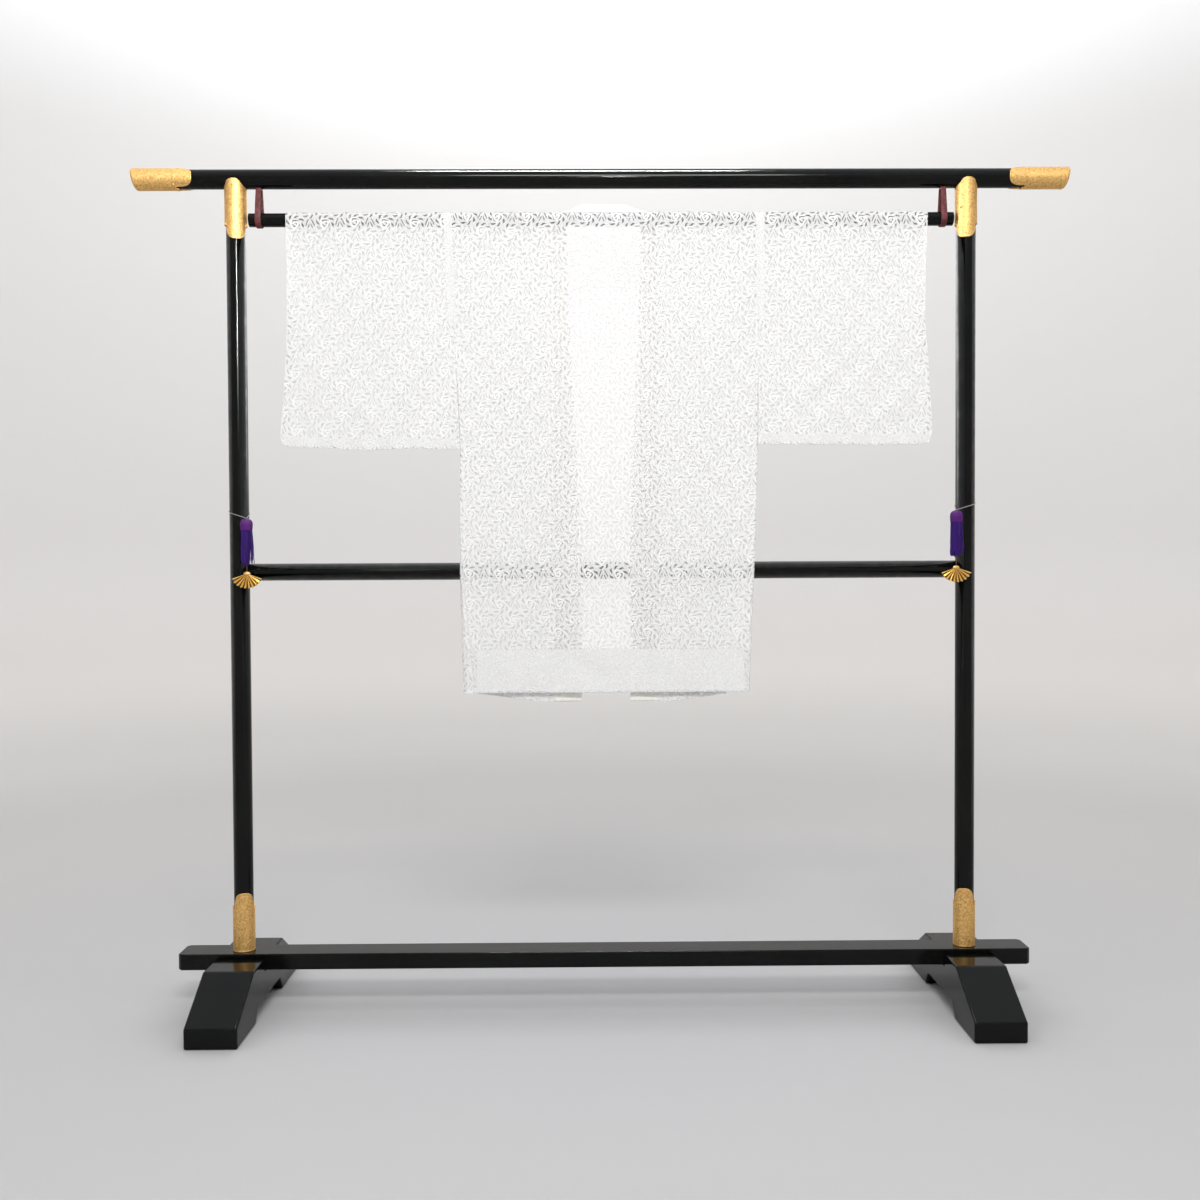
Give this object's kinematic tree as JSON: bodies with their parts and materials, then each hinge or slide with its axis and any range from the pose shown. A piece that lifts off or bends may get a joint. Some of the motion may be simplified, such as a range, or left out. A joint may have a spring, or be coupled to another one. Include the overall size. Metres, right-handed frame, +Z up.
{
  "type": "haori on kimono stand",
  "caption": "Unlined white flower-lace haori hung by its sleeves on the rod of a black lacquered kimono stand with gilt fittings, straps, tassels and small fans.",
  "frame": {"origin": "on the floor under the middle of the stand, midway between its feet", "axes": "+X along the stand's beam, to the right of someone who faces the haori's back; +Y away from that viewer, towards the haori's open fronts; +Z up"},
  "size_m": [1.9632, 0.46, 1.762],
  "materials": {
    "lace": "white warp-knitted lace with flower eyes, leaves and scrolls on a fine net",
    "plain_cloth": "matte off-white plain-woven cotton",
    "lacquer": "glossy black lacquer on wood",
    "gilt_brass": "gold-coloured stamped brass sheet, finely speckled",
    "strap_leather": "dark red flat leather band, satin",
    "tassel_silk": "violet twisted silk strands",
    "thread": "thin grey-mauve thread"
  },
  "bodies": {
    "root": {"body": "lace", "sleeve_left": "lace", "sleeve_right": "lace", "gusset_left": "lace", "gusset_right": "lace", "collar": "lace", "neck_patch": "plain_cloth", "top_beam": "lacquer", "mid_rail": "lacquer", "hanger_rod": "lacquer", "base_board": "lacquer", "post_left": "lacquer", "post_right": "lacquer", "foot_left": "lacquer", "foot_right": "lacquer", "beam_cap_left": "gilt_brass", "beam_cap_right": "gilt_brass", "post_top_fitting_left": "gilt_brass", "post_top_fitting_right": "gilt_brass", "post_bottom_fitting_left": "gilt_brass", "post_bottom_fitting_right": "gilt_brass", "strap_left": "strap_leather", "strap_right": "strap_leather", "ornament_thread_left": "thread", "ornament_thread_right": "thread", "tassel_left": "tassel_silk", "tassel_right": "tassel_silk", "ornament_fan_left": "gilt_brass", "ornament_fan_right": "gilt_brass"}
  },
  "joints": []
}
